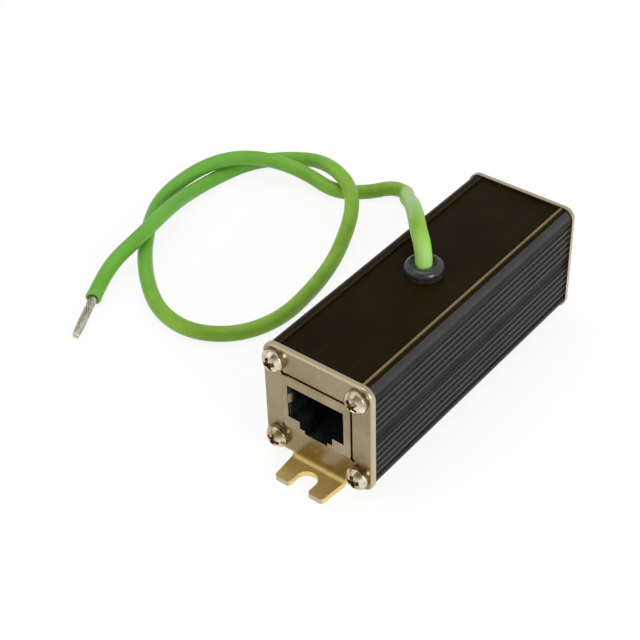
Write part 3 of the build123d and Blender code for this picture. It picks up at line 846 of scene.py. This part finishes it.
def two_finishes(name, mask_from, plain, plain_rough, metal, metal_rough):
    """A material that is plain where a mask is 0 and metal where it is 1."""
    material, tree, shader, place = start_material(name)
    mask = mask_from(tree, add(tree, "ShaderNodeSeparateXYZ", {"Vector": place}))
    tone = use_group(tree, drift, {"Place": place, "Spots per metre": 400.0}).outputs["Tone"]
    tints = [
        blend_colours(tree, tone, tuple(DARKER_SHARE * c for c in full), full)
        for full in (plain, metal)
    ]
    tree.links.new(blend_colours(tree, mask, *tints), shader.inputs["Base Color"])
    tree.links.new(mask, shader.inputs["Metallic"])
    rough = math_of(tree, "ADD", ranged(tree, mask, plain_rough, metal_rough),
                    ranged(tree, tone, -ROUGHNESS_DRIFT, ROUGHNESS_DRIFT))
    tree.links.new(rough, shader.inputs["Roughness"])
    return material


def off_centre(tree, axes, centre):
    """How far in X a place is from the centre of its own part, on either side of the board."""
    aside = math_of(tree, "ABSOLUTE", axes.outputs["X"])
    return math_of(tree, "ABSOLUTE", math_of(tree, "SUBTRACT", aside, centre))


def gas_tube_metal(tree, axes):
    """1 on the end caps and the middle band, by the distance from the tube's middle."""
    off = off_centre(tree, axes, GAS_TUBE_X)
    caps = math_of(tree, "GREATER_THAN", off, CAP_FROM)
    return math_of(tree, "MAXIMUM", caps, math_of(tree, "LESS_THAN", off, BAND_HALF))


def diode_metal(tree, axes):
    """1 on the legs, which stand out past the package's sides."""
    return math_of(tree, "GREATER_THAN", off_centre(tree, axes, DIODE_X), LEG_FROM)


def core_metal(tree, axes):
    """1 below the height where the inner end of the wire is stripped."""
    return math_of(tree, "LESS_THAN", axes.outputs["Z"], STRIPPED_BELOW)


gas_ceramic = two_finishes(
    "gas_tube_ceramic", gas_tube_metal, plain=(0.80, 0.79, 0.75), plain_rough=0.35,
    metal=(0.62, 0.60, 0.55), metal_rough=0.28,
)
chip_epoxy = two_finishes(
    "moulded_chip", diode_metal, plain=(0.018, 0.018, 0.020), plain_rough=0.55,
    metal=(0.66, 0.64, 0.60), metal_rough=0.32,
)
inner_lead = two_finishes(
    "inner_earth_lead", core_metal, plain=(0.20, 0.46, 0.07), plain_rough=0.36,
    metal=(0.60, 0.57, 0.50), metal_rough=0.35,
)


# %% Give each piece its finish
def finish_with(piece, material):
    """The material in every slot of a piece, or as its first one."""
    if not piece.material_slots:
        piece.data.materials.append(material)
    for slot in piece.material_slots:
        slot.material = material


finishes = {
    "housing_extrusion": anodised,
    "circuit_board": laminate,
    "cable_grommet": black_rubber,
    "earth_lead_inside": inner_lead,
    "earth_wire": green_insulation,
    "earth_wire_conductor": strand_tin,
}
by_part_of_name = {
    "end_plate": nickel_plate, "jack_shield": socket_can, "jack_insert": black_insert,
    "screw_": bright_screw, "contact_": gold_contact, "gas_tube_": gas_ceramic,
    "diode_array_": chip_epoxy,
}
for name, node in nodes.items():
    finish = finishes.get(name)
    finish_with(node, finish or next(m for part, m in by_part_of_name.items() if part in name))
for piece in screws:
    finish_with(piece, bright_screw)
finish_with(wire, green_insulation)
finish_with(cut_end, green_insulation)
finish_with(strands, strand_tin)
print("materials:", len(bpy.data.materials))

# %% [markdown]
# ## Table and light
#
# The real object was shot on white under soft light, so the table is a large plain white sheet.
# The camera and mirror-like surfaces mostly see its own even white, and the rest of it still
# takes the object's soft shadow. A wide lamp overhead, a smaller one at the right, which draws
# the bright lines on the ribs and screw heads, and a weak one at the front left shape the
# object. The world is pale at the horizon and darker above and behind the camera, as a room
# is, so that the metal has something to mirror.

# %% White table
SHEET = 20.0
OWN_WHITE_SHARE = 0.86
sheet_mesh = bpy.data.meshes.new("table_sheet")
sheet_mesh.from_pydata(
    [(-SHEET, -SHEET, 0), (SHEET, -SHEET, 0), (SHEET, SHEET, 0), (-SHEET, SHEET, 0)],
    [], [(0, 1, 2, 3)],
)
table = bpy.data.objects.new("table_sheet", sheet_mesh)
bpy.context.scene.collection.objects.link(table)

white_sheet, tree, shader, place = start_material("white_table_sheet")
shader.inputs["Base Color"].default_value = (0.93, 0.93, 0.93, 1)
shader.inputs["Roughness"].default_value = 0.9
shader.inputs["Specular IOR Level"].default_value = 0.1
rays = tree.nodes.new("ShaderNodeLightPath")
seen = math_of(tree, "MAXIMUM", rays.outputs["Is Camera Ray"], rays.outputs["Is Glossy Ray"])
seen = math_of(tree, "MAXIMUM", seen, rays.outputs["Is Transmission Ray"])
glow = add(tree, "ShaderNodeEmission", {
    "Color": (1, 1, 1, 1), "Strength": ranged(tree, rays.outputs["Is Glossy Ray"], 1.02, 1.15),
})
mixed = add(tree, "ShaderNodeMixShader", {
    0: math_of(tree, "MULTIPLY", seen, OWN_WHITE_SHARE),
    1: shader.outputs["BSDF"], 2: glow.outputs["Emission"],
})
output = next(n for n in tree.nodes if n.type == "OUTPUT_MATERIAL")
tree.links.new(mixed.outputs["Shader"], output.inputs["Surface"])
finish_with(table, white_sheet)


# %% Lamps
def soft_lamp(name, place, aim, size, power, colour=(1, 1, 1)):
    """A square area lamp at a place, turned so that its -Z looks at the aim."""
    data = bpy.data.lights.new(name, "AREA")
    data.size = size
    data.energy = power
    data.color = colour
    lamp = bpy.data.objects.new(name, data)
    lamp.location = place
    lamp.rotation_euler = (Vector(aim) - Vector(place)).to_track_quat("-Z", "Y").to_euler()
    bpy.context.scene.collection.objects.link(lamp)


AIM = (0, 0, 0.01)
soft_lamp("overhead", (-0.10, 0.00, 0.85), AIM, size=0.55, power=1.6)
soft_lamp("right_side", (0.58, -0.16, 0.26), AIM, size=0.26, power=2.0, colour=(0.98, 0.99, 1.0))
soft_lamp("front_left", (-0.42, -0.52, 0.50), AIM, size=0.50, power=0.8, colour=(1.0, 0.98, 0.94))
print("lamps:", len(bpy.data.lights))

# %% A room to mirror

world = bpy.data.worlds.new("even_room")
bpy.context.scene.world = world
world.use_nodes = True
tree = world.node_tree
backdrop = next(n for n in tree.nodes if n.type == "BACKGROUND")
direction = tree.nodes.new("ShaderNodeTexCoord").outputs["Generated"]
upward = add(tree, "ShaderNodeSeparateXYZ", {"Vector": direction})
above = add(tree, "ShaderNodeMapRange", {
    "Value": upward.outputs["Z"], "From Min": 0.10, "From Max": 0.60,
}, interpolation_type="SMOOTHSTEP").outputs["Result"]
behind = math_of(tree, "MULTIPLY", ramp(tree, upward.outputs["Y"], 0.10, -0.70), above)
room = blend_colours(tree, above, (0.86, 0.88, 0.91), (0.72, 0.71, 0.68))
room = blend_colours(tree, behind, room, (0.30, 0.28, 0.24))
tree.links.new(room, backdrop.inputs["Color"])
backdrop.inputs["Strength"].default_value = 1.0
bpy.context.scene.view_settings.view_transform = "Standard"

# %% Update the scene
bpy.context.view_layer.update()
